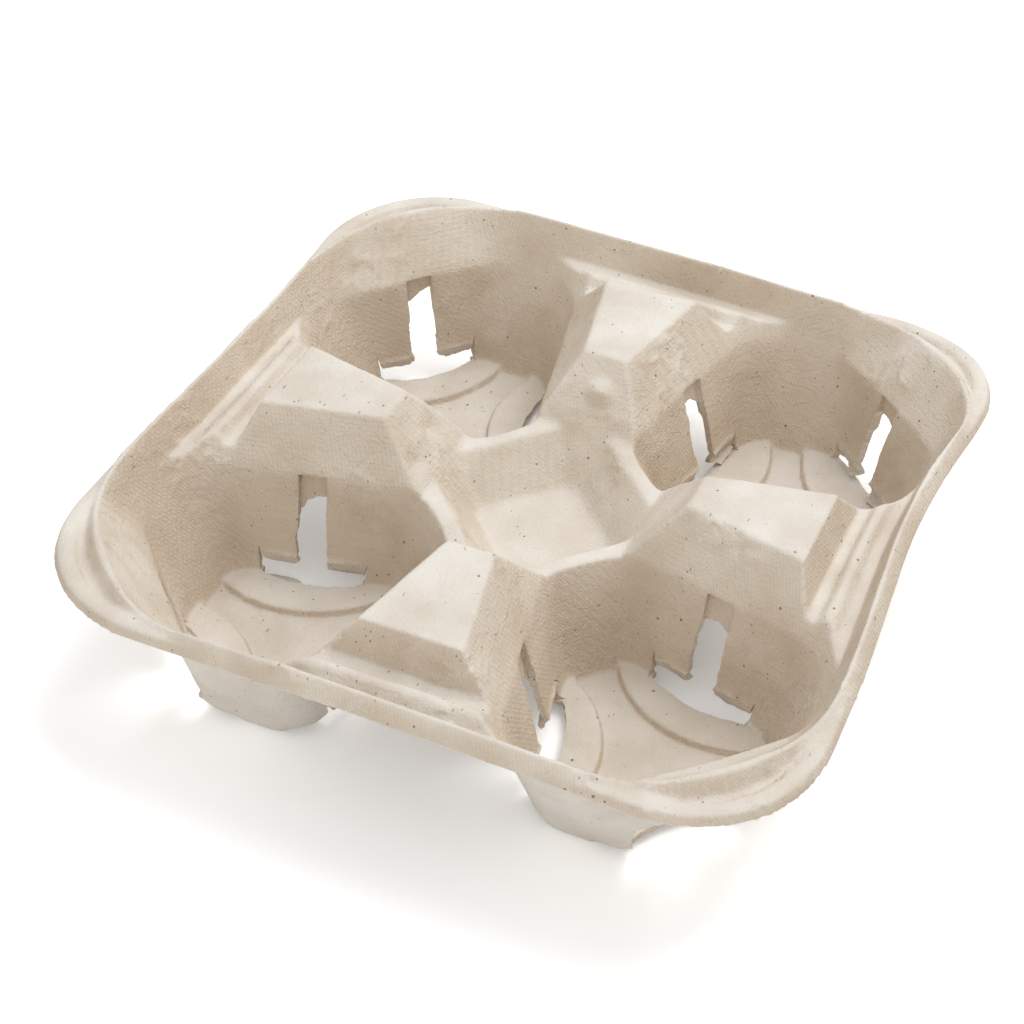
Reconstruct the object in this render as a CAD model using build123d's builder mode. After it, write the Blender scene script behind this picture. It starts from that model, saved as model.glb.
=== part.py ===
from build123d import *
import os
from math import atan, atan2, cos, pi, sin, sqrt

# A four-cup carrier, moulded in one piece from paper pulp. Sizes are in millimetres.
# The origin is under the middle of the tray, on the plane that its four feet rest on.
# The tray is one sheet of even thickness. Its upper face is a block with hollows sunk into it:
# four cup wells, the central pocket, the space over the deck and the grooves along the rim.
# Its lower face is the same set of hollows grown by the sheet's thickness.

# Overall sizes
overall_side = 216.0
overall_height = 52.0
sheet = 2.0
corner_radius = 40.0

# Rim: a rolled crest with a short skirt that leans outwards
skirt_height = 6.0
skirt_lean = 3.0
crest_width = 1.0

# Cup wells: width of the sloping outer wall, seen from above, and the flats that grip a cup
outer_wall_run = 21.0
pillar_gap_floor = 29.8
pillar_gap_slot = 21.7
pillar_gap_top = 10.0
pillar_flare = 0.22
corner_cut_floor = 15.0
corner_cut_slot = 29.0
corner_cut_top = 24.5
inner_reach_floor = 42.8
inner_reach_slot = 29.8
inner_reach_top = 15.0
inner_start_floor = 37.4
inner_start_slot = 28.5
inner_start_top = 14.0
well_round_pillar = (12.0, 20.0, 22.0)
well_round_corner = (13.0, 15.0, 40.0)
well_round_inner = 5.0
well_floor_round = 3.0

# Slots in the flats, with the slit along their foot and a thin recessed web left at their top
slot_drop = 16.0
slot_width = 8.3
slot_inset = 21.6
slit_length = 32.0
slit_height = 2.4
slot_cut_depth = 7.0
web_height = 8.0
web_thickness = 1.2
web_recess = 1.4
web_overlap = 1.5

# Raised ledges in front of the slots, bounded by arcs
ledge_rise = 2.5
ledge_radius = 36.8
ledge_depth = 14.6
ledge_shift = 5.4

# Deck between the wells, the pillars that stand on it, and the pocket in its middle
deck_drop = 18.0
deck_reach = 34.0
deck_reach_run = 6.0
pillar_end_run = 15.7
pocket_depth = 14.0
pocket_floor_reach = 15.0
pocket_floor_corner = 19.5
pocket_top_reach = 26.5
pocket_top_corner = 30.0
pocket_round = 4.0

# Grooves between the pillars and the rim: distances in from the crest, and depths below it
pillar_outer_inset = 23.2
trough_foot_inset = 18.5
trough_bead_inset = 15.5
trough_depth = 11.0
bead_inset = 12.5
bead_width = 2.0
bead_depth = 8.0
groove_inset = 9.0
groove_depth = 10.5
groove_side_run = 1.5
groove_half_length = 44.0

# Corner grooves, between the wells' inner crest and the turned-down flange
corner_crest_radius = 57.5
corner_crest_inset = 0.6
corner_flange_width = 0.8
corner_flange_drop = 2.5
corner_groove_depth = 4.5
corner_groove_run = 3.2

# Derived sizes
half_side = overall_side / 2
crest_outer = half_side - skirt_lean
crest_inner = crest_outer - crest_width
floor_outer = crest_inner - outer_wall_run
slot_top = overall_height - slot_drop
deck_height = overall_height - deck_drop
skirt_bottom = overall_height - skirt_height
ledge_top = sheet + ledge_rise
slot_distance = floor_outer - slot_inset
overshoot = 4.0

# How far an edge moves when a hollow grows by a thickness, as a share of it. Walls that lean move
# less along the level than across themselves.
well_side_share = 0.8
well_head_share = 1.2
well_bend_share = 0.45
pocket_side_share = 0.7
ledge_share = 0.7
crescent_share = 0.8


def quadrant_rotations():
    """Turns that carry one quarter of the tray to all four."""
    return PolarLocations(0, 4)


def wall_at(height, grow):
    """How far the sloping outer wall stands from the middle at a height."""
    slope = outer_wall_run / (overall_height - sheet)
    return floor_outer + (height - sheet) * slope + grow * sqrt(1 + slope**2)


def well_outline(height, outer, gap, cut, reach, start, rounds):
    """Plan of one well: two pillar flats, two outer walls, the corner flat and the inner curve."""
    flat_foot = gap + pillar_flare * (start - slot_distance)
    flat_end = gap + pillar_flare * (outer - slot_distance)
    corner = outer - cut * sqrt(2)
    inner = reach / sqrt(2)
    with BuildSketch(Plane.XY.offset(height)) as outline:
        with BuildLine():
            Polyline(
                (flat_foot, start), (flat_end, outer), (corner, outer),
                (outer, corner), (outer, flat_end), (start, flat_foot),
            )
            ThreePointArc((start, flat_foot), (inner, inner), (flat_foot, start))
        make_face()
        ends = outline.vertices()
        fillet(ends.filter_by(lambda v: abs(max(v.X, v.Y) - start) < 0.01), radius=rounds[2])
        ends = outline.vertices()
        fillet(ends.filter_by(lambda v: abs(min(v.X, v.Y) - flat_end) < 0.01), radius=rounds[0])
        ends = outline.vertices()
        fillet(ends.filter_by(lambda v: abs(min(v.X, v.Y) - corner) < 0.01), radius=rounds[1])
    return outline.sketch


def well_hollow(grow):
    """The space of one well, grown by a thickness, open at the top."""
    floor = sheet - grow
    bend = slot_top - well_bend_share * grow
    side = well_side_share * grow
    top = overall_height + overshoot
    lean = overshoot / slot_drop
    with BuildPart() as hollow:
        add(well_outline(
            floor, wall_at(floor, grow), pillar_gap_floor - side, corner_cut_floor,
            inner_reach_floor - side, inner_start_floor - side,
            (well_round_pillar[0] + side, well_round_corner[0] + side, well_round_inner),
        ))
        add(well_outline(
            bend, wall_at(bend, grow), pillar_gap_slot - side, corner_cut_slot,
            inner_reach_slot - side, inner_start_slot - side,
            (well_round_pillar[1] + side, well_round_corner[1] + side, well_round_inner),
        ))
        add(well_outline(
            top, wall_at(top, grow),
            pillar_gap_top - well_head_share * grow + lean * (pillar_gap_top - pillar_gap_slot),
            corner_cut_top + lean * (corner_cut_top - corner_cut_slot),
            inner_reach_top - side, inner_start_top - side,
            (well_round_pillar[2] + side, well_round_corner[2] + side, well_round_inner),
        ))
        loft(ruled=True)
    return hollow.part


def deck_outline(height, side_reach, corner_reach):
    """Eight-sided plan round the middle: sides face the wells, cut corners face the pillars."""
    across = side_reach * sqrt(2) - corner_reach
    points = [(corner_reach, across), (across, corner_reach)]
    ring = []
    for turn in range(4):
        for x, y in points:
            ring.append((x, y))
        points = [(-y, x) for x, y in points]
    with BuildSketch(Plane.XY.offset(height)) as outline:
        with BuildLine():
            Polyline(*ring, close=True)
        make_face()
    return outline.sketch


def pocket_hollow(grow):
    """The pocket in the middle of the deck, grown by a thickness."""
    floor = deck_height - pocket_depth - grow
    run = (pocket_top_reach - pocket_floor_reach) / pocket_depth
    top = deck_height + overshoot
    side = pocket_side_share * grow
    with BuildPart() as hollow:
        add(deck_outline(floor, pocket_floor_reach + side, pocket_floor_corner + side))
        add(deck_outline(
            top, pocket_top_reach + side + run * overshoot, pocket_top_corner + side + run * overshoot,
        ))
        loft(ruled=True)
        upright = hollow.edges().filter_by(lambda e: e.bounding_box().size.Z > 1)
        fillet(upright, radius=pocket_round + side)
        fillet(hollow.faces().sort_by(Axis.Z)[0].edges(), radius=pocket_round)
    return hollow.part


def deck_hollow(grow):
    """The space over the deck, between the inner ends of the pillars."""
    floor = deck_height - grow
    top = overall_height + overshoot
    run = pillar_end_run / deck_drop
    lean = sqrt(1 + run**2) * grow
    foot = pocket_top_corner + lean - run * grow
    head = pocket_top_corner + pillar_end_run + run * overshoot + lean
    spread = deck_reach_run / deck_drop
    with BuildPart() as hollow:
        add(deck_outline(floor, deck_reach - spread * grow, foot))
        add(deck_outline(top, deck_reach + spread * (deck_drop + overshoot), head))
        loft(ruled=True)
    return hollow.part


def rim_trough(grow):
    """The stepped trough behind one pillar, with its bead, between pillar and rim."""
    crest = crest_inner
    level = overall_height
    slope = outer_wall_run / (overall_height - sheet)
    rise = overshoot
    end_slope = (pillar_outer_inset - trough_foot_inset) / trough_depth
    with BuildPart() as hollow:
        with BuildSketch(Plane.XZ.offset(-groove_half_length)) as profile:
            with BuildLine():
                Polyline(
                    (crest - pillar_outer_inset - end_slope * rise, level + rise),
                    (crest - trough_foot_inset, level - trough_depth),
                    (crest - trough_bead_inset, level - trough_depth),
                    (crest - bead_inset, level - bead_depth),
                    (crest - bead_inset + bead_width, level - bead_depth),
                    (crest - groove_inset + groove_side_run, level - groove_depth),
                    (crest - slope * groove_depth, level - groove_depth),
                    (crest + slope * rise, level + rise),
                    close=True,
                )
            make_face()
            if grow > 0:
                offset(amount=grow, kind=Kind.INTERSECTION)
        extrude(amount=2 * groove_half_length)
    return hollow.part


def rounded_frustum(low, high, half_low, half_high, radius_high):
    """A square frustum whose corner arcs keep their centres."""
    with BuildPart() as frustum:
        with BuildSketch(Plane.XY.offset(low)):
            RectangleRounded(2 * half_low, 2 * half_low, radius_high + half_low - half_high)
        with BuildSketch(Plane.XY.offset(high)):
            RectangleRounded(2 * half_high, 2 * half_high, radius_high)
        loft(ruled=True)
    return frustum.part


def corner_groove(grow):
    """The crescent grooves between the corner crests and the turned-down flange."""
    side = crescent_share * grow
    slope = corner_groove_run / corner_groove_depth
    low = overall_height - corner_groove_depth - grow
    high = overall_height + overshoot
    flange = crest_outer - corner_flange_width + side + slope * overshoot
    crest = crest_outer - corner_crest_inset - side - slope * overshoot
    run = slope * (high - low)
    outer_radius = corner_radius - half_side + flange
    inner_radius = corner_crest_radius - side - slope * overshoot
    outer = rounded_frustum(low, high, flange - run, flange, outer_radius)
    inner = rounded_frustum(low, high, crest + run, crest, inner_radius)
    reach = overall_side + overshoot
    lowered = overall_height - corner_flange_drop - grow
    with BuildPart() as groove:
        add(outer)
        with Locations((0, 0, lowered)):
            Box(reach, reach, high - lowered, align=(Align.CENTER, Align.CENTER, Align.MIN))
        add(inner, mode=Mode.SUBTRACT)
    return groove.part


def ledges(grow):
    """The raised ledges of one well: two in front of the pillar flats, one at the corner flat."""
    rise = ledge_top - grow
    radius = ledge_radius - ledge_share * grow
    across = pillar_gap_floor + ledge_depth - ledge_radius
    corner = (floor_outer * sqrt(2) - corner_cut_floor - ledge_depth + ledge_radius) / sqrt(2)
    along = slot_distance + ledge_shift
    with BuildPart() as raised:
        with BuildSketch(Plane.XY.offset(-overshoot)):
            with Locations((along, across), (across, along), (corner, corner)):
                Circle(radius)
        extrude(amount=rise + overshoot)
    return raised.part


def hollows(grow):
    """All the hollows of the tray, grown by a thickness."""
    well = well_hollow(grow)
    raised = ledges(grow)
    trough = rim_trough(grow)
    pocket = pocket_hollow(grow)
    deck = deck_hollow(grow)
    with BuildPart() as well_space:
        add(well)
        fillet(well_space.faces().sort_by(Axis.Z)[0].edges(), radius=well_floor_round)
        add(raised, mode=Mode.SUBTRACT)
    with BuildPart() as space:
        add(pocket)
        add(deck)
        with quadrant_rotations():
            add(well_space.part)
            add(trough)
    return space.part


def rim_block(shrink):
    """The rim's outline as a solid, from the skirt's edge to the crest."""
    high = overall_height - shrink
    low_half = half_side - shrink
    high_half = crest_outer - shrink
    return rounded_frustum(skirt_bottom, high, low_half, high_half, corner_radius - skirt_lean - shrink)


def flat_plane(x, y, heading, tilt):
    """The plane of a flat: its origin at the slot's top, Y up the flat, Z out into the well."""
    along = (cos(heading), sin(heading), 0)
    outward = (sin(heading) * cos(tilt), -cos(heading) * cos(tilt), sin(tilt))
    return Plane((x, y, slot_top), x_dir=along, z_dir=outward)


def flats():
    """The planes of a well's three slotted flats, each with its tilt from upright."""
    rise = slot_top - sheet
    flare = atan(pillar_flare)
    pillar_tilt = atan2(pillar_gap_floor - pillar_gap_slot, rise)
    corner_top = wall_at(slot_top, 0) * sqrt(2) - corner_cut_slot
    corner_floor = floor_outer * sqrt(2) - corner_cut_floor
    corner_tilt = atan2(corner_top - corner_floor, rise)
    corner = corner_top / sqrt(2)
    return [
        (flat_plane(pillar_gap_slot, slot_distance, pi / 2 - flare, pillar_tilt), pillar_tilt),
        (flat_plane(slot_distance, pillar_gap_slot, pi + flare, pillar_tilt), pillar_tilt),
        (flat_plane(corner, corner, -pi / 4, corner_tilt), corner_tilt),
    ]


def slot_cutters():
    """A well's slots: each is an upright opening with a slit along its foot, like a T upside down."""
    with BuildPart() as cutters:
        for plane, tilt in flats():
            foot = -(slot_top - ledge_top) / cos(tilt)
            with BuildSketch(plane):
                with Locations((0, foot)):
                    Rectangle(slot_width, -foot, align=(Align.CENTER, Align.MIN))
                    Rectangle(slit_length, slit_height, align=(Align.CENTER, Align.MIN))
            extrude(amount=slot_cut_depth, both=True)
    return cutters.part


def slot_webs():
    """The thin recessed web left across the top of each slot of a well."""
    width = slot_width + 2 * web_overlap
    height = web_height + web_overlap
    with BuildPart() as webs:
        for plane, tilt in flats():
            with BuildSketch(plane.offset(-web_recess)):
                with Locations((0, web_overlap)):
                    Rectangle(width, height, align=(Align.CENTER, Align.MAX))
            extrude(amount=-web_thickness)
    return webs.part


def tray():
    """The moulded sheet: the block less its hollows, less the air under the sheet."""
    outer = rim_block(0)
    under = rim_block(sheet)
    grown = hollows(sheet)
    sunk = hollows(0)
    slots = slot_cutters()
    webs = slot_webs()
    reach = overall_side + overshoot
    with BuildPart() as air:
        add(under)
        with Locations((0, 0, skirt_bottom)):
            Box(reach, reach, skirt_bottom + overshoot, align=(Align.CENTER, Align.CENTER, Align.MAX))
        add(grown, mode=Mode.SUBTRACT)
        add(corner_groove(sheet), mode=Mode.SUBTRACT)
    with BuildPart() as cup_carrier:
        add(outer)
        with BuildSketch():
            RectangleRounded(overall_side, overall_side, corner_radius)
        extrude(amount=skirt_bottom)
        add(sunk, mode=Mode.SUBTRACT)
        add(corner_groove(0), mode=Mode.SUBTRACT)
        add(air.part, mode=Mode.SUBTRACT)
        with quadrant_rotations():
            add(slots, mode=Mode.SUBTRACT)
            add(webs)
    return cup_carrier.part


os.makedirs("parts", exist_ok=True)
cup_carrier = tray()
cup_carrier.label = "cup_carrier"
export_step(cup_carrier, "parts/cup_carrier.step")
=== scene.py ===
import math
import random

import bmesh
import bpy
import numpy as np
from bpy.props import FloatProperty, FloatVectorProperty, IntProperty, PointerProperty
from mathutils import Matrix, Vector


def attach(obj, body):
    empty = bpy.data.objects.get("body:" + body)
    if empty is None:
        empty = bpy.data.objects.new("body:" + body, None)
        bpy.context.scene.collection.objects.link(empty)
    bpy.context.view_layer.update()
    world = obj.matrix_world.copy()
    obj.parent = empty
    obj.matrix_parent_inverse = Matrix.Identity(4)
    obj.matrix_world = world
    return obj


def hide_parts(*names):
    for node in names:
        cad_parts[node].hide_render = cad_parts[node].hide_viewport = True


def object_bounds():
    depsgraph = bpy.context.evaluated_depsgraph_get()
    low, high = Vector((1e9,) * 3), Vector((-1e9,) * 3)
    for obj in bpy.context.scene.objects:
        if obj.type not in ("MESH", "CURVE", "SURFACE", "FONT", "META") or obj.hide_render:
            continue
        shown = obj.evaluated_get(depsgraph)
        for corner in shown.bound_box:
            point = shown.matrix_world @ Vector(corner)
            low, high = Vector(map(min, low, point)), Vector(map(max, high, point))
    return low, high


bl_info = {
    "name": "Moulded Cup Carrier",
    "version": (1, 0, 0),
    "blender": (4, 5, 0),
    "location": "View3D > Sidebar > Cup Carrier",
    "description": "A four-cup carrier moulded from paper pulp, with torn slots, on a pale studio floor",
    "category": "Add Mesh",
}

MM = 0.001
PULP_NODE = "cup_carrier"

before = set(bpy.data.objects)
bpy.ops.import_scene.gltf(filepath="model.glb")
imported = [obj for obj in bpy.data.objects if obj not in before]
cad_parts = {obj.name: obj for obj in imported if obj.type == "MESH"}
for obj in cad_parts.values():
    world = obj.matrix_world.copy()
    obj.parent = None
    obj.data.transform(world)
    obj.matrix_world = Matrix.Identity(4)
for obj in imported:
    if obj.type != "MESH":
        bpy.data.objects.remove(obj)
CAD_LOW, CAD_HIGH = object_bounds()
HALF = CAD_HIGH.x
TOP = CAD_HIGH.z


# Colours and node helpers

def linear(hex_colour):
    """An sRGB hex colour as linear red, green, blue and an alpha of 1."""
    channels = [int(hex_colour[i:i + 2], 16) / 255 for i in (1, 3, 5)]
    out = [c / 12.92 if c <= 0.04045 else ((c + 0.055) / 1.055) ** 2.4 for c in channels]
    return (*out, 1.0)


def add_node(tree, kind, inputs=None, **settings):
    """Adds one node. A value in inputs is a link if it is a socket, and the socket's default if not."""
    node = tree.nodes.new(kind)
    for name, value in settings.items():
        setattr(node, name, value)
    for key, value in (inputs or {}).items():
        if isinstance(value, bpy.types.NodeSocket):
            tree.links.new(value, node.inputs[key])
        else:
            node.inputs[key].default_value = value
    return node


# Settings that a user would change

class PulpSettings(bpy.types.PropertyGroup):
    voxel: FloatProperty(
        name="Voxel", description="Spacing of the points that the sheet is remade with",
        default=0.68 * MM, unit="LENGTH",
    )
    edge_rounding: IntProperty(
        name="Edge rounding",
        description="Passes that soften the folds, as wet pulp bridges sharp corners",
        default=4, min=0,
    )
    warp: FloatProperty(
        name="Warp", description="How far the dried sheet strays from true, over a hand's width",
        default=1.1 * MM, unit="LENGTH",
    )
    warp_width: FloatProperty(
        name="Warp width", description="Size of one bend of that warp", default=70 * MM, unit="LENGTH",
    )
    crumple: FloatProperty(
        name="Crumple", description="Height of the small creases in the walls",
        default=0.32 * MM, unit="LENGTH",
    )
    crumple_width: FloatProperty(
        name="Crumple width", description="Distance between those creases",
        default=9 * MM, unit="LENGTH",
    )
    most_triangles: IntProperty(
        name="Most triangles", description="The sheet is thinned to this many", default=160000,
    )
    tear_step: FloatProperty(
        name="Tear step", description="Spacing of the points along a torn edge",
        default=0.6 * MM, unit="LENGTH",
    )
    tear_depth: FloatProperty(
        name="Tear depth", description="How far a torn edge wanders", default=0.5 * MM, unit="LENGTH",
    )
    colour: FloatVectorProperty(
        name="Colour", description="The pulp's colour", subtype="COLOR", size=4,
        default=linear("#EBE5DC"),
    )
    shade: FloatVectorProperty(
        name="Damp shade", description="The darker mottling", subtype="COLOR", size=4,
        default=linear("#DDD3C6"),
    )
    # The colour painted into the weave's hollows on the walls as painted shade
    pit_shade: FloatVectorProperty(
        name="Pit", description="The bottom of the fine weave", subtype="COLOR", size=4,
        default=linear("#A88C6C"),
    )
    speck: FloatVectorProperty(
        name="Speck", description="Flecks of bark and old ink", subtype="COLOR", size=4,
        default=linear("#5E4A38"),
    )


class StudioSettings(bpy.types.PropertyGroup):
    floor_size: FloatProperty(
        name="Floor size", description="Side of the floor", default=6.0, unit="LENGTH",
    )
    floor_colour: FloatVectorProperty(
        name="Floor", description="The floor as it lights the object", subtype="COLOR", size=4,
        default=linear("#F0F0F0"),
    )
    lens: FloatProperty(name="Lens", description="Focal length", default=76.3, unit="CAMERA")
    azimuth: FloatProperty(
        name="Azimuth", description="Where the camera stands round the object",
        default=math.radians(24.94), subtype="ANGLE",
    )
    elevation: FloatProperty(
        name="Elevation", description="How high it looks down from",
        default=math.radians(41.43), subtype="ANGLE",
    )
    roll: FloatProperty(
        name="Roll", description="Tilt of the horizon", default=math.radians(-0.47), subtype="ANGLE",
    )
    distance: FloatProperty(
        name="Distance", description="From the rim's middle", default=0.5987, unit="LENGTH",
    )
    slide: FloatProperty(
        name="Slide", description="How far the view is moved aside", default=-0.0083, unit="LENGTH",
    )
    lift: FloatProperty(
        name="Lift", description="How far the view is moved up", default=-0.0185, unit="LENGTH",
    )


# The slots' places, in millimetres from the middle of the foot plane

SHEET = 2.0
SLOT_TOP = 36.0
LEDGE_TOP = 4.5
SLOT_HALF_WIDTH = 4.15
SLIT_HALF_LENGTH = 16.0
SLIT_HEIGHT = 2.4
WEB_LOW = -13.0
WEB_RECESS = 2.1
WEB_THICKNESS = 1.2
LEDGE_TEAR = 3.2
FLAP_FOLD = 5.6
FLAP_LEAN = 0.55
PILLAR_GAP_TOP = 21.7
PILLAR_GAP_FLOOR = 29.8
SLOT_DISTANCE = HALF / MM - 46.6
PILLAR_FLARE = math.atan(0.22)
CORNER_TOP = 108.6
CORNER_FLOOR = 102.4

# A slot with gaps below CLOSED_GAP keeps its ledge whole, and one with a gap over WIDE_GAP has no cracks
CLOSED_GAP = 1.5
WIDE_GAP = 5.0
USUAL_GAPS = (2.2, 1.8)
FIRST_SEED = 100
LEDGE_SEED = 50

PULP_SEED = 4.0
TRIANGLE_LIMIT = 200000
SHARP_ANGLE = math.radians(50)

# The floor as the camera sees it: pale enough to show white where it is fully lit, and its small glow
SEEN_WHITE = 1.28
SEEN_GLOW = 0.08
SKY_STRENGTH = 0.70
LAMPS = {
    "key": ((0.25, 0.55, 1.1), 0.9, 9.0),
    "fill": ((0.0, -1.2, 0.3), 0.9, 3.6),
}


class Slot:
    """One slot: its frame on the flat (along, up, out of the sheet into the well) and its own tear."""

    def __init__(self, quarter, flat, lean, web, gaps, seed):
        rise = SLOT_TOP - SHEET
        if flat == "corner":
            tilt = math.atan2(CORNER_TOP - CORNER_FLOOR, rise)
            x = y = CORNER_TOP / math.sqrt(2)
            heading = -math.pi / 4
        else:
            tilt = math.atan2(PILLAR_GAP_FLOOR - PILLAR_GAP_TOP, rise)
            x, y, heading = PILLAR_GAP_TOP, SLOT_DISTANCE, math.pi / 2 - PILLAR_FLARE
            if flat == "second":
                x, y, heading = SLOT_DISTANCE, PILLAR_GAP_TOP, math.pi + PILLAR_FLARE
        along = Vector((math.cos(heading), math.sin(heading), 0))
        out = Vector((
            math.sin(heading) * math.cos(tilt), -math.cos(heading) * math.cos(tilt), math.sin(tilt),
        ))
        turn = Matrix.Rotation(math.radians(90 * quarter), 3, "Z")
        self.origin = turn @ Vector((x, y, SLOT_TOP))
        self.along = turn @ along
        self.out = turn @ out
        self.up = self.out.cross(self.along)
        self.foot = -(SLOT_TOP - LEDGE_TOP) / math.cos(tilt)
        self.lean = lean
        self.web = web
        self.gaps = gaps
        self.seed = seed

    def place(self, u, v, w):
        """A point given in the slot's own frame, in metres in the row frame."""
        return (self.origin + u * self.along + v * self.up + w * self.out) * MM


def all_slots():
    """The twelve slots. Lean moves a slot's foot along the flat, web is the torn edge of its web, and
    gaps are the heights torn open under its flaps."""
    level = [(-1.0, -8.2), (0.0, -7.6), (1.0, -8.0)]
    open_under = {
        (3, "corner"): (9.4, 9.4), (2, "corner"): (5.0, 2.4), (2, "second"): (1.8, 0.2),
        (3, "second"): (1.6, 0.8), (3, "first"): (2.0, 1.2), (0, "corner"): (0.8, 0.3),
        (0, "first"): (1.0, 0.3),
    }
    chosen = {
        (2, "second"): (0.0, [(-1.0, -12.0), (-0.5, -8.6), (0.1, -7.4), (1.0, -7.0)]),
        (3, "second"): (-3.6, [(-1.0, -6.0), (-0.3, -7.0), (0.25, -10.8), (1.0, -7.2)]),
        (1, "corner"): (0.6, [(-1.0, -8.2), (-0.3, -6.8), (0.4, -5.2), (1.0, -4.2)]),
        (0, "corner"): (0.0, [(-1.0, -6.2), (0.0, -5.8), (1.0, -7.4)]),
        (0, "first"): (0.0, [(-1.0, -5.0), (0.1, -5.2), (1.0, -8.8)]),
        (3, "first"): (0.0, [(-1.0, -9.0), (0.0, -8.0), (1.0, -10.5)]),
    }
    slots = []
    for quarter in range(4):
        for index, flat in enumerate(("first", "second", "corner")):
            lean, web = chosen.get((quarter, flat), (0.0, level))
            gaps = open_under.get((quarter, flat), USUAL_GAPS)
            slots.append(Slot(quarter, flat, lean, web, gaps, FIRST_SEED + 3 * quarter + index))
    return slots


def prism(mesh, slot, outline, near, far):
    """Adds an outline, given in a slot's frame, as a solid from one depth to another."""
    front = [mesh.verts.new(slot.place(u, v, near)) for u, v in outline]
    back = [mesh.verts.new(slot.place(u, v, far)) for u, v in outline]
    mesh.faces.new(front)
    mesh.faces.new(reversed(back))
    count = len(outline)
    for i in range(count):
        j = (i + 1) % count
        mesh.faces.new((front[j], front[i], back[i], back[j]))


def mesh_object(name, mesh):
    """A bmesh, triangulated and with its normals made consistent, as a linked object."""
    bmesh.ops.triangulate(mesh, faces=mesh.faces[:])
    bmesh.ops.recalc_face_normals(mesh, faces=mesh.faces[:])
    data = bpy.data.meshes.new(name)
    mesh.to_mesh(data)
    mesh.free()
    made = bpy.data.objects.new(name, data)
    bpy.context.scene.collection.objects.link(made)
    return made


def web_tongues():
    """Pulp added before a slot is torn: the web's lower part, a narrow fringe down each side, and the
    foot of each flap."""
    mesh = bmesh.new()
    for slot in all_slots():
        half = SLOT_HALF_WIDTH + 1.2
        web = [(-half, WEB_LOW), (half, WEB_LOW), (half, 1.5), (-half, 1.5)]
        prism(mesh, slot, web, -WEB_RECESS + 0.4, -WEB_RECESS - WEB_THICKNESS)
        for side in (-1, 1):
            inner, outer = side * (SLOT_HALF_WIDTH - 1.3), side * (SLOT_HALF_WIDTH + 1.0)
            foot, flap_end = slot.foot + SLIT_HEIGHT, side * (SLIT_HALF_LENGTH + 0.8)
            fringe = [(inner, foot), (outer, foot), (outer, -9.0), (inner, -9.0)]
            prism(mesh, slot, fringe, 0.0, -SHEET)
            low, high = slot.foot + 0.4, foot + 0.8
            flap = [(inner, low), (flap_end, low), (flap_end, high), (inner, high)]
            prism(mesh, slot, flap, 0.0, -SHEET)
    return mesh_object("web_tongues", mesh)


def torn_line(start, end, step, depth, chance):
    """Points from start to end along a tear: each halving of the line strays less than the one before."""
    length = math.hypot(end[0] - start[0], end[1] - start[1])
    side = ((end[1] - start[1]) / length, (start[0] - end[0]) / length)
    offsets = [0.0, 0.0]
    stray = depth
    while length / (len(offsets) - 1) > step:
        finer = [offsets[0]]
        for before, after in zip(offsets, offsets[1:]):
            middle = (before + after) / 2 + chance.uniform(-1, 1) * stray
            finer += [max(-1.6 * depth, min(1.6 * depth, middle)), after]
        offsets = finer
        stray *= 0.62
    points = []
    for i, off in enumerate(offsets[:-1]):
        t = i / (len(offsets) - 1)
        points.append(tuple(a + (b - a) * t + n * off for a, b, n in zip(start, end, side)))
    return points


def torn_outline(slot, step, depth):
    """The ragged upside-down T torn out of a flat: its slot, the slit along its foot, and a crack
    running up from each end of the slit."""
    chance = random.Random(slot.seed)
    foot = slot.foot
    left_top, right_top = foot + slot.gaps[0], foot + slot.gaps[1]
    half = SLOT_HALF_WIDTH
    reach = SLIT_HALF_LENGTH
    crack_rise = 6.0 if max(slot.gaps) < WIDE_GAP else 1.0
    waist = foot / 2 - 4
    web = [(u * half, v) for u, v in slot.web]
    corners = [
        (-reach, foot - 0.3), (reach, foot - 0.3), (reach - 0.2, right_top),
        (reach + 0.5, right_top + crack_rise), (reach - 1.1, right_top + 0.8),
        (half + 2.5 + slot.lean, right_top - 0.1),
        (half - 0.4 + slot.lean, right_top + 1.6), (half + 0.1 + 0.4 * slot.lean, waist), *reversed(web),
        (-half - 1.0 + 0.4 * slot.lean, waist), (-half - 0.4 + slot.lean, left_top + 1.2),
        (-half - 2.0 + slot.lean, left_top - 0.2), (-reach + 1.2, left_top + 0.9),
        (-reach - 0.4, left_top + crack_rise), (-reach + 0.1, left_top),
    ]
    clean = {1, 7, 8}
    outline = []
    for index, (start, end) in enumerate(zip(corners, corners[1:] + corners[:1])):
        top = (left_top if start[0] < 0 else right_top) + crack_rise
        crack = abs(start[0]) > half + 5 and top in (start[1], end[1])
        calm = 0.15 if crack or index in clean or start[1] < foot and end[1] < foot else 1.0
        outline += torn_line(start, end, step, depth * calm, chance)
    return outline


def ledge_outline(slot, step, depth):
    """The crescent torn out of a ledge, between the flat's foot and an arc in front of it, in plan:
    along the flat and out into the well."""
    chance = random.Random(slot.seed + LEDGE_SEED)
    ends, middle = SLIT_HALF_LENGTH - 1.0, LEDGE_TEAR
    count = 6
    arc = []
    for i in range(count + 1):
        u = ends * (1 - 2 * i / count)
        arc.append((u, middle * (1 - (u / ends) ** 2) + 0.6))
    corners = [(-ends, -2.8), (ends, -2.8), *arc]
    outline = []
    for start, end in zip(corners, corners[1:] + corners[:1]):
        calm = 0.1 if start[1] < 0 or end[1] < 0 else 0.6
        outline += torn_line(start, end, step, depth * calm, chance)
    return outline


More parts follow.
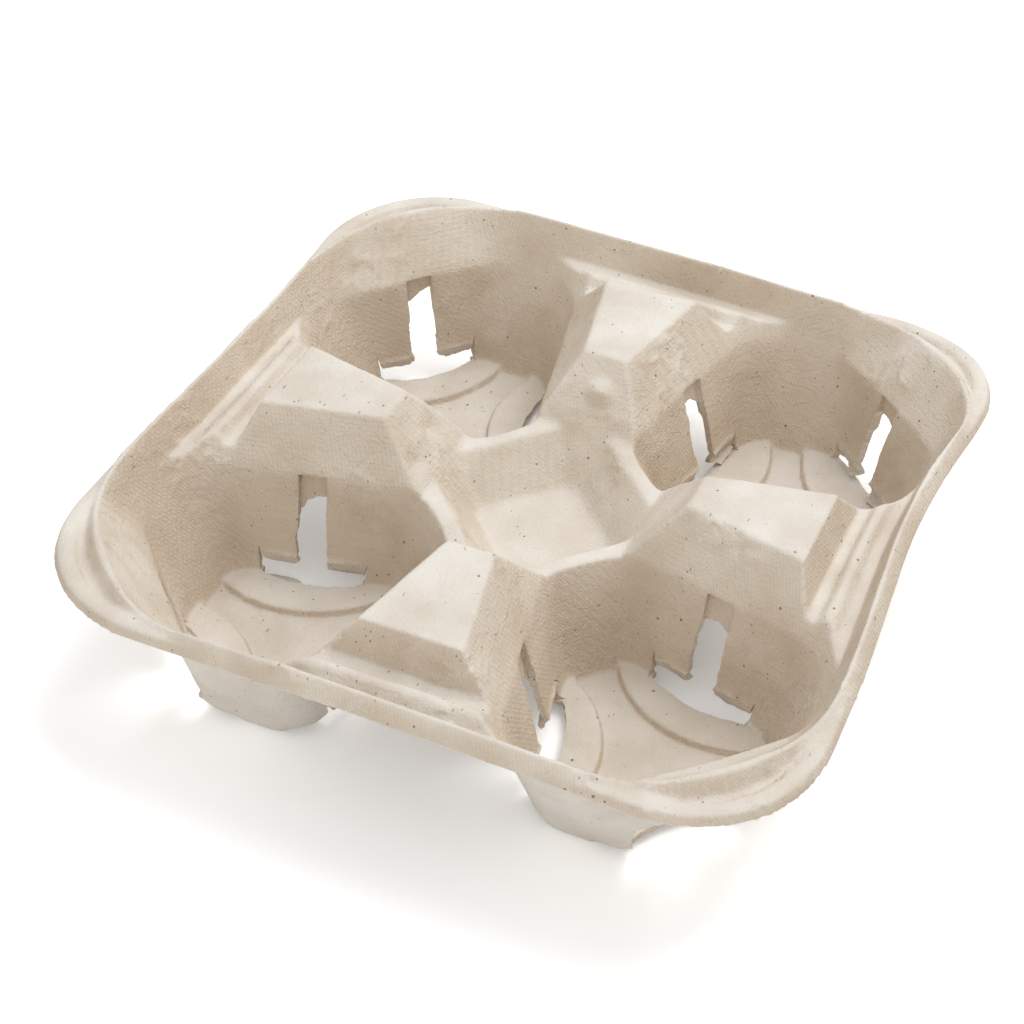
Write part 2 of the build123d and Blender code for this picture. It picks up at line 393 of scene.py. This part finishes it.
def upright_prism(mesh, slot, outline, low, high):
    """Adds an outline, given in plan in front of a flat's foot, as a solid between two heights."""
    foot = slot.place(0, slot.foot, 0) / MM
    forward = Vector((slot.out.x, slot.out.y, 0)).normalized()
    rings = []
    for height in (low, high):
        ring = []
        for u, w in outline:
            point = foot + u * slot.along + w * forward
            ring.append(mesh.verts.new(Vector((point.x, point.y, height)) * MM))
        rings.append(ring)
    mesh.faces.new(rings[0])
    mesh.faces.new(reversed(rings[1]))
    count = len(outline)
    for i in range(count):
        j = (i + 1) % count
        mesh.faces.new((rings[0][j], rings[0][i], rings[1][i], rings[1][j]))


def slot_tears(step, depth):
    """The ragged prisms that tear the slots open."""
    mesh = bmesh.new()
    for slot in all_slots():
        prism(mesh, slot, torn_outline(slot, step, depth), 3.0, -7.5)
    return mesh_object("slot_tears", mesh)


def web_recesses():
    """The crisp-edged blocks that sink the webs below the faces of the flats."""
    mesh = bmesh.new()
    for slot in all_slots():
        half = SLOT_HALF_WIDTH
        prism(mesh, slot, [(-half, WEB_LOW), (half, WEB_LOW), (half, 0), (-half, 0)], 3.0, -WEB_RECESS)
    return mesh_object("web_recesses", mesh)


def ledge_tears(step, depth):
    """The prisms that tear the ledges away from the feet of the flats."""
    mesh = bmesh.new()
    for slot in all_slots():
        if max(slot.gaps) >= CLOSED_GAP:
            upright_prism(mesh, slot, ledge_outline(slot, step, depth), SHEET, LEDGE_TOP + 1.6)
    return mesh_object("ledge_tears", mesh)


# The sheet's own dents, each a smooth push: (middle, reach, push) in millimetres

SIDE_DENTS = [
    ((107, 20, 50), (16, 46, 60), (-4.6, 0, -0.6)),
    ((60, 106, 50), (60, 16, 60), (0, -1.6, -3.0)),
    ((88, -88, 47), (26, 26, 12), (0.5, -0.5, -3.2)),
    ((-60, -107, 50), (60, 14, 20), (0, 1.2, -0.8)),
    ((95, 62, 50), (18, 18, 30), (2.0, 1.6, 0)),
    ((-105, 30, 50), (14, 60, 30), (1.6, 0, -1.0)),
]

SURFACE_DENTS = [
    ((1.4, 38.2, 43.5), (3.0, 3.0, 3.0), (0.0, -1.5, 1.3)),
    ((36, -2, 40), (6, 6, 6), (-0.8, 0.3, 0.2)),
    ((-37.5, 4.5, 42.5), (3, 2.5, 3), (-0.9, 0.0, -0.9)),
    ((-35.5, -8, 40), (4, 3, 3), (-0.9, 0.0, -0.8)),
    ((-30, 22, 33), (8, 6, 5), (0.6, -0.6, -0.9)),
    ((4, -50, 48), (5, 4, 3), (0, 0, -0.5)),
]


def push_dents(points, dents):
    """Moves the points by each dent's push, fading with distance as a bell does."""
    shift = np.zeros_like(points)
    for middle, reach, push in dents:
        away = (points / MM - np.array(middle)) / np.array(reach)
        weight = np.exp(-(away ** 2).sum(axis=1))
        shift += weight[:, None] * np.array(push) * MM
    return points + shift


def crease_flaps(points):
    """Creases the two flaps beside each slot's foot: a fold line, and an edge that leans out."""
    moved = points.copy()
    for slot in all_slots():
        local = points / MM - np.array(slot.origin)
        u = local @ np.array(slot.along)
        v = local @ np.array(slot.up) - slot.foot
        w = local @ np.array(slot.out)
        near = (np.abs(u) < SLIT_HALF_LENGTH + 1) & (v > 0.8) & (v < 12) & (w > -5) & (w < 9)
        fade = np.clip((SLIT_HALF_LENGTH + 0.5 - np.abs(u)) / 1.5, 0, 1) * np.clip((v - 0.8) / 1.2, 0, 1)
        bow = FLAP_FOLD - 0.012 * (np.abs(u) - 10) ** 2
        lean_back = -FLAP_LEAN * np.clip(bow - v, 0, 6)
        ridge = 0.7 * np.exp(-((v - bow) / 0.8) ** 2)
        push = np.where(near, fade * (lean_back + ridge), 0.0) * MM
        moved += push[:, None] * np.array(slot.out)
    return moved


def keep_in_box(points):
    """Holds the points inside the frame's box, and the feet on the floor."""
    low = np.array(CAD_LOW) + 0.02 * MM
    high = np.array(CAD_HIGH) - 0.02 * MM
    low[2] = CAD_LOW.z
    return np.clip(points, low, high)


def vertex_array(data):
    """A mesh's vertices as an array."""
    flat = np.zeros(len(data.vertices) * 3)
    data.vertices.foreach_get("co", flat)
    return flat.reshape(-1, 3)


def move_vertices(data, points):
    """Writes an array back to a mesh's vertices."""
    data.vertices.foreach_set("co", points.astype(np.float32).ravel())
    data.update()


def drop_crumbs(data):
    """Deletes the crumbs that a tear leaves loose, and keeps the carrier itself."""
    mesh = bmesh.new()
    mesh.from_mesh(data)
    waiting = set(mesh.verts)
    parts = []
    while waiting:
        part = {waiting.pop()}
        edge = list(part)
        while edge:
            vertex = edge.pop()
            for link in vertex.link_edges:
                other = link.other_vert(vertex)
                if other in waiting:
                    waiting.discard(other)
                    part.add(other)
                    edge.append(other)
        parts.append(part)
    parts.sort(key=len)
    for part in parts[:-1]:
        bmesh.ops.delete(mesh, geom=list(part), context="VERTS")
    mesh.to_mesh(data)
    mesh.free()


# Geometry nodes: the moulded sheet

def sheet_tree():
    """Softens the folds, warps the dried sheet and raises the small creases in its walls."""
    tree = bpy.data.node_groups.new("Moulded Sheet", "GeometryNodeTree")
    face = tree.interface
    face.new_socket("Geometry", in_out="INPUT", socket_type="NodeSocketGeometry")
    face.new_socket("Edge Rounding", in_out="INPUT", socket_type="NodeSocketInt")
    for name in ("Warp", "Warp Width", "Crumple", "Crumple Width"):
        face.new_socket(name, in_out="INPUT", socket_type="NodeSocketFloat")
    face.new_socket("Seed", in_out="INPUT", socket_type="NodeSocketFloat")
    face.new_socket("Geometry", in_out="OUTPUT", socket_type="NodeSocketGeometry")
    given = add_node(tree, "NodeGroupInput").outputs

    place = add_node(tree, "GeometryNodeInputPosition").outputs[0]
    soft = add_node(tree, "GeometryNodeBlurAttribute", {
        "Iterations": given["Edge Rounding"], "Weight": 1.0,
    }, data_type="FLOAT_VECTOR")
    value = [s for s in soft.inputs if s.type == "VECTOR"][0]
    tree.links.new(place, value)
    blurred = [s for s in soft.outputs if s.type == "VECTOR"][0]
    rounded = add_node(tree, "GeometryNodeSetPosition", {
        "Geometry": given["Geometry"], "Position": blurred,
    })

    def waves(width, detail, roughness, shift):
        """Noise of a given width, as a vector from -1 to 1."""
        per_metre = add_node(tree, "ShaderNodeMath", {0: 1.0, 1: width}, operation="DIVIDE").outputs[0]
        seeded = add_node(tree, "ShaderNodeMath", {
            0: given["Seed"], 1: shift,
        }, operation="ADD").outputs[0]
        noise = add_node(tree, "ShaderNodeTexNoise", {
            "Vector": place, "W": seeded, "Scale": per_metre, "Detail": detail, "Roughness": roughness,
        }, noise_dimensions="4D")
        centred = add_node(tree, "ShaderNodeVectorMath", {
            0: noise.outputs["Color"], 1: (0.5, 0.5, 0.5),
        }, operation="SUBTRACT").outputs[0]
        doubled = add_node(tree, "ShaderNodeVectorMath", {0: centred}, operation="SCALE")
        doubled.inputs["Scale"].default_value = 2.0
        return doubled.outputs[0]

    warp = add_node(tree, "ShaderNodeVectorMath", {
        0: waves(given["Warp Width"], 1.0, 0.4, 0.0), "Scale": given["Warp"],
    }, operation="SCALE").outputs[0]
    warped = add_node(tree, "GeometryNodeSetPosition", {
        "Geometry": rounded.outputs[0], "Offset": warp,
    })

    # Creases: the sharp valley of a folded noise, seen only in patches
    ripple = waves(given["Crumple Width"], 3.0, 0.55, 3.0)
    ripple_x = add_node(tree, "ShaderNodeSeparateXYZ", {0: ripple}).outputs[0]
    folded = add_node(tree, "ShaderNodeMath", {0: ripple_x}, operation="ABSOLUTE").outputs[0]
    crest = add_node(tree, "ShaderNodeMapRange", {
        "Value": folded, "From Min": 0.0, "From Max": 0.14, "To Min": 1.0, "To Max": 0.0,
    }, interpolation_type="SMOOTHSTEP").outputs[0]
    patch_width = add_node(tree, "ShaderNodeMath", {
        0: given["Crumple Width"], 1: 3.0,
    }, operation="MULTIPLY").outputs[0]
    patch = add_node(tree, "ShaderNodeSeparateXYZ", {0: waves(patch_width, 1.0, 0.5, 9.0)}).outputs[1]
    shown = add_node(tree, "ShaderNodeMapRange", {
        "Value": patch, "From Min": -0.1, "From Max": 0.35, "To Min": 0.0, "To Max": 1.0,
    }, interpolation_type="SMOOTHSTEP").outputs[0]
    both = add_node(tree, "ShaderNodeMath", {0: crest, 1: shown}, operation="MULTIPLY").outputs[0]
    height = add_node(tree, "ShaderNodeMath", {
        0: both, 1: given["Crumple"],
    }, operation="MULTIPLY").outputs[0]
    fine = add_node(tree, "ShaderNodeSeparateXYZ", {
        0: waves(given["Crumple Width"], 2.0, 0.5, 17.0),
    }).outputs[2]
    fine_height = add_node(tree, "ShaderNodeMath", {
        0: given["Crumple"], 1: 0.35,
    }, operation="MULTIPLY").outputs[0]
    low_waves = add_node(tree, "ShaderNodeMath", {0: fine, 1: fine_height}, operation="MULTIPLY").outputs[0]
    raised = add_node(tree, "ShaderNodeMath", {0: height, 1: low_waves}, operation="ADD").outputs[0]
    normal = add_node(tree, "GeometryNodeInputNormal").outputs[0]
    lifted = add_node(tree, "ShaderNodeVectorMath", {
        0: normal, "Scale": raised,
    }, operation="SCALE").outputs[0]
    creased = add_node(tree, "GeometryNodeSetPosition", {
        "Geometry": warped.outputs[0], "Offset": lifted,
    })
    real = add_node(tree, "GeometryNodeRealizeInstances", {"Geometry": creased.outputs[0]})
    painted = add_node(tree, "GeometryNodeSetMaterial", {"Geometry": real.outputs[0]})
    painted.inputs["Material"].default_value = bpy.data.materials["moulded_pulp_unbleached"]
    add_node(tree, "NodeGroupOutput", {"Geometry": painted.outputs[0]})
    return tree


def set_inputs(modifier, values):
    """Sets a geometry nodes modifier's inputs by the identifiers of its sockets."""
    for item in modifier.node_group.interface.items_tree:
        if item.item_type == "SOCKET" and item.in_out == "INPUT" and item.name in values:
            modifier[item.identifier] = values[item.name]


def apply_modifiers(target):
    """Turns an object's evaluated mesh into its plain mesh, and removes its modifiers."""
    bpy.context.view_layer.update()
    graph = bpy.context.evaluated_depsgraph_get()
    made = bpy.data.meshes.new_from_object(target.evaluated_get(graph))
    old = target.data
    target.modifiers.clear()
    target.data = made
    bpy.data.meshes.remove(old)
    return target


# Materials

def moulded_pulp():
    """Unbleached paper pulp, vacuum moulded on wire mesh and dried: quite matt, mottled, and flecked
    with bark. The mesh leaves a fine weave on it, and stray fibres lie on its skin."""
    settings = bpy.context.scene.cup_carrier_pulp
    material = bpy.data.materials.new("moulded_pulp_unbleached")
    material.use_nodes = True
    tree = material.node_tree
    tree.nodes.clear()
    coordinates = add_node(tree, "ShaderNodeTexCoord").outputs
    place = coordinates["Object"]

    def per_metre(width_mm):
        return 1000 / width_mm

    def wave_scale(pitch_mm):
        """The Wave texture's scale for bands this far apart: it turns through 20 radians a unit."""
        return 2 * math.pi * per_metre(pitch_mm) / 20

    cloud = add_node(tree, "ShaderNodeTexNoise", {"Vector": place, "Scale": per_metre(22), "Detail": 5.0})
    cloudy = add_node(tree, "ShaderNodeMapRange", {
        "Value": cloud.outputs[0], "From Min": 0.38, "From Max": 0.64,
    }).outputs[0]
    base = add_node(tree, "ShaderNodeMix", {
        "Factor": cloudy, 6: tuple(settings.colour), 7: tuple(settings.shade),
    }, data_type="RGBA").outputs[2]

    # Level faces stay smooth and pale, and so do the feet's outer faces, which lean down; the wells'
    # walls keep the weave and are painted darker and warmer: painted shade, for the warm bounced light in
    # the wells
    facing_up = add_node(tree, "ShaderNodeSeparateXYZ", {0: coordinates["Normal"]}).outputs[2]
    steep = add_node(tree, "ShaderNodeMapRange", {
        "Value": facing_up, "From Min": 0.45, "From Max": 0.92, "To Min": 1.0, "To Max": 0.12,
    }, interpolation_type="SMOOTHSTEP").outputs[0]
    inner = add_node(tree, "ShaderNodeMapRange", {
        "Value": facing_up, "From Min": -0.12, "From Max": 0.0, "To Min": 0.2, "To Max": 1.0,
    }, interpolation_type="SMOOTHSTEP").outputs[0]
    walls = add_node(tree, "ShaderNodeMath", {0: steep, 1: inner}, operation="MULTIPLY").outputs[0]
    # Painted shade: steep faces are multiplied by a darker, warmer tint
    painted_wall_shade = add_node(tree, "ShaderNodeMix", {
        "Factor": walls, 6: base, 7: (0.90, 0.835, 0.755, 1.0),
    }, data_type="RGBA", blend_type="MULTIPLY").outputs[2]

    # Flecks up to 1 mm across, in half of the cells
    fleck = add_node(tree, "ShaderNodeTexVoronoi", {
        "Vector": place, "Scale": per_metre(3.4), "Randomness": 1.0,
    })
    size = add_node(tree, "ShaderNodeSeparateColor", {"Color": fleck.outputs["Color"]})
    wanted = add_node(tree, "ShaderNodeMapRange", {
        "Value": size.outputs[0], "From Min": 0.45, "From Max": 1.0, "To Min": 0.0, "To Max": 0.15,
    }).outputs[0]
    inside = add_node(tree, "ShaderNodeMath", {
        0: wanted, 1: fleck.outputs["Distance"],
    }, operation="SUBTRACT").outputs[0]
    flecks = add_node(tree, "ShaderNodeMapRange", {
        "Value": inside, "From Min": 0.0, "From Max": 0.05, "To Min": 0.0, "To Max": 0.75,
    }).outputs[0]
    bark = add_node(tree, "ShaderNodeMix", {
        "Factor": flecks, 6: painted_wall_shade, 7: tuple(settings.speck),
    }, data_type="RGBA").outputs[2]

    # Finer, paler flecks and short fibres, drawn out along the slant
    drawn = add_node(tree, "ShaderNodeMapping", {
        "Vector": place, "Rotation": (0.3, 0.5, 0.8), "Scale": (1.0, 0.35, 1.0),
    }).outputs[0]
    fine_fleck = add_node(tree, "ShaderNodeTexVoronoi", {"Vector": drawn, "Scale": per_metre(1.7)})
    fine_size = add_node(tree, "ShaderNodeSeparateColor", {"Color": fine_fleck.outputs["Color"]})
    fine_wanted = add_node(tree, "ShaderNodeMapRange", {
        "Value": fine_size.outputs[1], "From Min": 0.62, "From Max": 1.0, "To Min": 0.0, "To Max": 0.22,
    }).outputs[0]
    fine_inside = add_node(tree, "ShaderNodeMath", {
        0: fine_wanted, 1: fine_fleck.outputs["Distance"],
    }, operation="SUBTRACT").outputs[0]
    fine_flecks = add_node(tree, "ShaderNodeMapRange", {
        "Value": fine_inside, "From Min": 0.0, "From Max": 0.08, "To Min": 0.0, "To Max": 0.5,
    }).outputs[0]
    flecked = add_node(tree, "ShaderNodeMix", {
        "Factor": fine_flecks, 6: bark, 7: tuple(settings.speck),
    }, data_type="RGBA").outputs[2]

    # The forming wire's weave: two sets of fine bands crossing on the slant, 0.8 mm apart, which is
    # coarser than the real mesh so that it shows
    def bands(turn):
        turned = add_node(tree, "ShaderNodeMapping", {"Vector": place, "Rotation": turn}).outputs[0]
        band = add_node(tree, "ShaderNodeTexWave", {
            "Vector": turned, "Scale": wave_scale(0.8), "Distortion": 1.2, "Detail": 1.0,
        }, wave_type="BANDS", bands_direction="X")
        return band.outputs["Fac"]

    weave = add_node(tree, "ShaderNodeMath", {
        0: bands((0.5, 0.4, 0.62)), 1: bands((-0.5, 0.4, -0.95)),
    }, operation="MULTIPLY").outputs[0]
    grain = add_node(tree, "ShaderNodeTexNoise", {
        "Vector": place, "Scale": per_metre(0.9), "Detail": 4.0, "Roughness": 0.7,
    }).outputs[0]
    # Painted shade: the weave's hollows on the walls are darkened towards the pit colour
    weave_hollow_shade = add_node(tree, "ShaderNodeMapRange", {
        "Value": weave, "From Min": 0.0, "From Max": 0.5, "To Min": 0.16, "To Max": 0.0,
    }).outputs[0]
    wall_hollow_shade = add_node(tree, "ShaderNodeMath", {0: weave_hollow_shade, 1: walls}, operation="MULTIPLY").outputs[0]
    hollow_shaded = add_node(tree, "ShaderNodeMix", {
        "Factor": wall_hollow_shade, 6: flecked, 7: tuple(settings.pit_shade),
    }, data_type="RGBA").outputs[2]
    # Fine ridges that follow the level lines of sloping faces, about 1.2 mm apart, in patches
    level_band = add_node(tree, "ShaderNodeTexWave", {
        "Vector": place, "Scale": wave_scale(1.2), "Distortion": 2.5,
        "Detail": 2.0, "Detail Scale": 0.4,
    }, wave_type="BANDS", bands_direction="Z").outputs["Fac"]
    level_patch = add_node(tree, "ShaderNodeTexNoise", {
        "Vector": place, "Scale": per_metre(26), "Detail": 1.0,
    }).outputs[0]
    level_shown = add_node(tree, "ShaderNodeMapRange", {
        "Value": level_patch, "From Min": 0.45, "From Max": 0.62, "To Min": 0.0, "To Max": 0.10,
    }).outputs[0]
    ridges = add_node(tree, "ShaderNodeMath", {
        0: level_band, 1: level_shown,
    }, operation="MULTIPLY").outputs[0]
    strand_place = add_node(tree, "ShaderNodeMapping", {
        "Vector": place, "Scale": (1.0, 0.25, 1.0),
    }).outputs[0]
    strands = add_node(tree, "ShaderNodeTexNoise", {
        "Vector": strand_place, "Scale": per_metre(1.6), "Detail": 2.0, "Distortion": 0.6,
    }).outputs[0]
    strand_share = add_node(tree, "ShaderNodeMath", {0: strands, 1: 0.6}, operation="MULTIPLY").outputs[0]
    fuzz = add_node(tree, "ShaderNodeMath", {0: grain, 1: strand_share}, operation="ADD").outputs[0]
    weave_walls = add_node(tree, "ShaderNodeMath", {0: weave, 1: walls}, operation="MULTIPLY").outputs[0]
    weave_share = add_node(tree, "ShaderNodeMath", {
        0: weave_walls, 1: 0.22,
    }, operation="MULTIPLY").outputs[0]
    # Small sharp wrinkles, about 7 mm apart, that the walls took as they dried
    fold = add_node(tree, "ShaderNodeTexNoise", {
        "Vector": place, "Scale": per_metre(7), "Detail": 3.0, "Roughness": 0.55, "Distortion": 0.7,
    }).outputs[0]
    fold_middle = add_node(tree, "ShaderNodeMath", {0: fold, 1: 0.5}, operation="SUBTRACT").outputs[0]
    fold_side = add_node(tree, "ShaderNodeMath", {0: fold_middle}, operation="ABSOLUTE").outputs[0]
    wrinkle = add_node(tree, "ShaderNodeMapRange", {
        "Value": fold_side, "From Min": 0.0, "From Max": 0.05, "To Min": 0.36, "To Max": 0.0,
    }, interpolation_type="SMOOTHSTEP").outputs[0]
    wrinkle_patch = add_node(tree, "ShaderNodeTexNoise", {
        "Vector": place, "Scale": per_metre(30), "Detail": 1.0,
    }).outputs[0]
    wrinkle_shown = add_node(tree, "ShaderNodeMapRange", {
        "Value": wrinkle_patch, "From Min": 0.44, "From Max": 0.56, "To Min": 0.1, "To Max": 1.0,
    }).outputs[0]
    wall_wrinkle = add_node(tree, "ShaderNodeMath", {0: wrinkle, 1: walls}, operation="MULTIPLY").outputs[0]
    wrinkles = add_node(tree, "ShaderNodeMath", {
        0: wall_wrinkle, 1: wrinkle_shown,
    }, operation="MULTIPLY").outputs[0]
    wrinkled = add_node(tree, "ShaderNodeMath", {0: fuzz, 1: wrinkles}, operation="ADD").outputs[0]
    woven = add_node(tree, "ShaderNodeMath", {0: wrinkled, 1: weave_share}, operation="ADD").outputs[0]
    height = add_node(tree, "ShaderNodeMath", {0: woven, 1: ridges}, operation="ADD").outputs[0]
    bump = add_node(tree, "ShaderNodeBump", {
        "Strength": 0.8, "Distance": 0.55 * MM, "Height": height,
    }).outputs[0]

    skin = add_node(tree, "ShaderNodeBsdfPrincipled", {
        "Base Color": hollow_shaded, "Normal": bump, "Roughness": 0.93, "IOR": 1.45,
        "Specular IOR Level": 0.25,
    })
    add_node(tree, "ShaderNodeOutputMaterial", {"Surface": skin.outputs[0]})
    return material


def pale_floor():
    """Matt white paper: even, with no gloss. It shows white to the camera and keeps its shadows."""
    settings = bpy.context.scene.cup_carrier_studio
    material = bpy.data.materials.new("white_paper_matt")
    material.use_nodes = True
    tree = material.node_tree
    tree.nodes.clear()
    path = add_node(tree, "ShaderNodeLightPath").outputs
    lit = add_node(tree, "ShaderNodeBsdfDiffuse", {"Color": tuple(settings.floor_colour)})
    seen = add_node(tree, "ShaderNodeBsdfDiffuse", {"Color": (SEEN_WHITE, SEEN_WHITE, SEEN_WHITE, 1.0)})
    glow = add_node(tree, "ShaderNodeEmission", {"Color": (1.0, 1.0, 1.0, 1.0), "Strength": SEEN_GLOW})
    white = add_node(tree, "ShaderNodeAddShader", {0: seen.outputs[0], 1: glow.outputs[0]})
    mixed = add_node(tree, "ShaderNodeMixShader", {
        0: path["Is Camera Ray"], 1: lit.outputs[0], 2: white.outputs[0],
    })
    add_node(tree, "ShaderNodeOutputMaterial", {"Surface": mixed.outputs[0]})
    return material


# Operators

class CARRIER_OT_pulp(bpy.types.Operator):
    """Makes the moulded pulp carrier with its torn slots"""
    bl_idname = "carrier.pulp"
    bl_label = "Moulded Pulp Carrier"

    def execute(self, context):
        settings = context.scene.cup_carrier_pulp
        material = moulded_pulp()
        carrier = bpy.data.objects.new("moulded_carrier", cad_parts[PULP_NODE].data.copy())
        context.scene.collection.objects.link(carrier)
        merged = bmesh.new()
        merged.from_mesh(carrier.data)
        bmesh.ops.remove_doubles(merged, verts=merged.verts[:], dist=0.004 * MM)
        merged.to_mesh(carrier.data)
        merged.free()
        tongues = web_tongues()
        carrier_mesh = bmesh.new()
        carrier_mesh.from_mesh(carrier.data)
        carrier_mesh.from_mesh(tongues.data)
        carrier_mesh.to_mesh(carrier.data)
        carrier_mesh.free()
        bpy.data.objects.remove(tongues)

        remesh = carrier.modifiers.new("remesh", "REMESH")
        remesh.mode = "VOXEL"
        remesh.voxel_size = settings.voxel
        apply_modifiers(carrier)
        if not carrier.data.vertices:
            raise RuntimeError("the remeshed carrier is empty")
        points = vertex_array(carrier.data)
        points = push_dents(points, SURFACE_DENTS)
        points = push_dents(points, SIDE_DENTS)
        move_vertices(carrier.data, points)

        moulded = carrier.modifiers.new("moulded_sheet", "NODES")
        moulded.node_group = sheet_tree()
        set_inputs(moulded, {
            "Edge Rounding": settings.edge_rounding,
            "Warp": settings.warp, "Warp Width": settings.warp_width,
            "Crumple": settings.crumple, "Crumple Width": settings.crumple_width,
            "Seed": PULP_SEED,
        })
        apply_modifiers(carrier)
        move_vertices(carrier.data, crease_flaps(vertex_array(carrier.data)))
        thin = carrier.modifiers.new("thin", "DECIMATE")
        thin.ratio = settings.most_triangles / (2 * len(carrier.data.polygons))
        apply_modifiers(carrier)

        step, depth = settings.tear_step / MM, settings.tear_depth / MM
        for tears in (web_recesses(), slot_tears(step, depth), ledge_tears(step, depth)):
            cut = carrier.modifiers.new("tears", "BOOLEAN")
            cut.operation = "DIFFERENCE"
            cut.solver = "MANIFOLD"
            cut.object = tears
            apply_modifiers(carrier)
            bpy.data.objects.remove(tears)

        drop_crumbs(carrier.data)
        move_vertices(carrier.data, keep_in_box(vertex_array(carrier.data)))
        carrier.data.materials.clear()
        carrier.data.materials.append(material)
        carrier.data.shade_smooth()
        carrier.data.set_sharp_from_angle(angle=SHARP_ANGLE)
        triangles = sum(len(p.vertices) - 2 for p in carrier.data.polygons)
        print("carrier triangles", triangles)
        if triangles >= TRIANGLE_LIMIT:
            raise RuntimeError("the carrier has too many triangles")
        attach(carrier, "root")
        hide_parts(PULP_NODE)
        return {"FINISHED"}


class CARRIER_OT_studio(bpy.types.Operator):
    """Makes the floor, the lights, the world and the camera"""
    bl_idname = "carrier.studio"
    bl_label = "Studio"

    def execute(self, context):
        settings = context.scene.cup_carrier_studio
        half = settings.floor_size / 2
        corners = [(-half, -half, 0), (half, -half, 0), (half, half, 0), (-half, half, 0)]
        data = bpy.data.meshes.new("floor")
        data.from_pydata(corners, [], [(0, 1, 2, 3)])
        data.materials.append(pale_floor())
        floor = bpy.data.objects.new("floor", data)
        context.scene.collection.objects.link(floor)

        world = bpy.data.worlds.new("studio")
        context.scene.world = world
        world.use_nodes = True
        tree = world.node_tree
        tree.nodes.clear()
        path = add_node(tree, "ShaderNodeLightPath").outputs
        soft = add_node(tree, "ShaderNodeBackground", {
            "Color": linear("#F6F7F8"), "Strength": SKY_STRENGTH,
        })
        white = add_node(tree, "ShaderNodeBackground", {"Color": (1.0, 1.0, 1.0, 1.0), "Strength": 1.0})
        mixed = add_node(tree, "ShaderNodeMixShader", {
            0: path["Is Camera Ray"], 1: soft.outputs[0], 2: white.outputs[0],
        })
        add_node(tree, "ShaderNodeOutputWorld", {"Surface": mixed.outputs[0]})

        for name, (place, size, power) in LAMPS.items():
            self.lamp(name, place, size, power)
        self.camera(settings)
        context.scene.view_settings.view_transform = "Standard"
        return {"FINISHED"}

    def lamp(self, name, place, size, power):
        """A square soft lamp that faces the object."""
        light = bpy.data.lights.new(name, "AREA")
        light.shape = "SQUARE"
        light.size = size
        light.energy = power
        lamp = bpy.data.objects.new(name, light)
        lamp.location = place
        lamp.rotation_euler = (-Vector(place)).to_track_quat("-Z", "Y").to_euler()
        bpy.context.scene.collection.objects.link(lamp)

    def camera(self, settings):
        """The camera, aimed past the middle of the rim."""
        az, el, roll = settings.azimuth, settings.elevation, settings.roll
        back = Vector((math.sin(az) * math.cos(el), -math.cos(az) * math.cos(el), math.sin(el)))
        level = Vector((math.cos(az), math.sin(az), 0))
        upright = back.cross(level)
        right = math.cos(roll) * level + math.sin(roll) * upright
        up = -math.sin(roll) * level + math.cos(roll) * upright
        lens = bpy.data.cameras.new("camera")
        lens.lens = settings.lens
        lens.sensor_width = 36.0
        lens.clip_start = 0.01
        camera = bpy.data.objects.new("camera", lens)
        camera.rotation_mode = "QUATERNION"
        turn = Matrix((right, up, back)).transposed()
        camera.rotation_quaternion = turn.to_quaternion()
        target = Vector((0, 0, TOP))
        camera.location = target + settings.distance * back + settings.slide * right + settings.lift * up
        bpy.context.scene.collection.objects.link(camera)
        bpy.context.scene.camera = camera


class CARRIER_PT_panel(bpy.types.Panel):
    """Lists the carrier's operators and settings"""
    bl_label = "Cup Carrier"
    bl_idname = "CARRIER_PT_panel"
    bl_space_type = "VIEW_3D"
    bl_region_type = "UI"
    bl_category = "Cup Carrier"

    def draw(self, context):
        for operator, group in (
            (CARRIER_OT_pulp, context.scene.cup_carrier_pulp),
            (CARRIER_OT_studio, context.scene.cup_carrier_studio),
        ):
            self.layout.operator(operator.bl_idname)
            for name in group.__annotations__:
                self.layout.prop(group, name)


CLASSES = (PulpSettings, StudioSettings, CARRIER_OT_pulp, CARRIER_OT_studio, CARRIER_PT_panel)


def register():
    for each in CLASSES:
        bpy.utils.register_class(each)
    bpy.types.Scene.cup_carrier_pulp = PointerProperty(type=PulpSettings)
    bpy.types.Scene.cup_carrier_studio = PointerProperty(type=StudioSettings)


def unregister():
    del bpy.types.Scene.cup_carrier_studio
    del bpy.types.Scene.cup_carrier_pulp
    for each in reversed(CLASSES):
        bpy.utils.unregister_class(each)


def main():
    register()
    bpy.ops.carrier.pulp()
    bpy.ops.carrier.studio()


if __name__ == "__main__":
    main()
